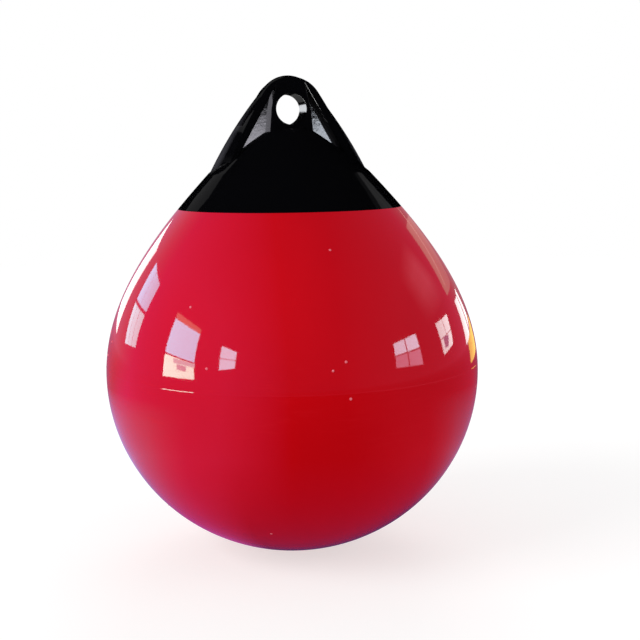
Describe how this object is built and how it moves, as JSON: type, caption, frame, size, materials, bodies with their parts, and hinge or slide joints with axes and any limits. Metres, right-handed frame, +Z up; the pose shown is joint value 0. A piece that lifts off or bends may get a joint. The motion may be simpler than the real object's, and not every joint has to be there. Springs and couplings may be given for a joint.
{
  "type": "marker buoy",
  "caption": "Inflatable teardrop marker buoy: hollow glossy red vinyl float with a black moulded rope hold, a round rope eye and a screw valve.",
  "frame": {"origin": "on the float's centre line, level with its lowest point", "axes": "+Z up the centre line through the rope eye, +Y along the eye's bore towards the valve side, +X along the lug's width"},
  "size_m": [0.3006, 0.3006, 0.3807],
  "materials": {
    "red_vinyl": "glossy inflated vinyl",
    "black_vinyl": "glossy moulded vinyl",
    "black_nylon": "satin moulded nylon",
    "grey_nylon": "satin moulded nylon",
    "seal_rubber": "matt rubber"
  },
  "bodies": {
    "root": {"float_body": "red_vinyl", "rope_hold": "black_vinyl", "valve_body": "black_nylon", "valve_screw": "grey_nylon", "valve_seal": "seal_rubber"}
  },
  "joints": []
}
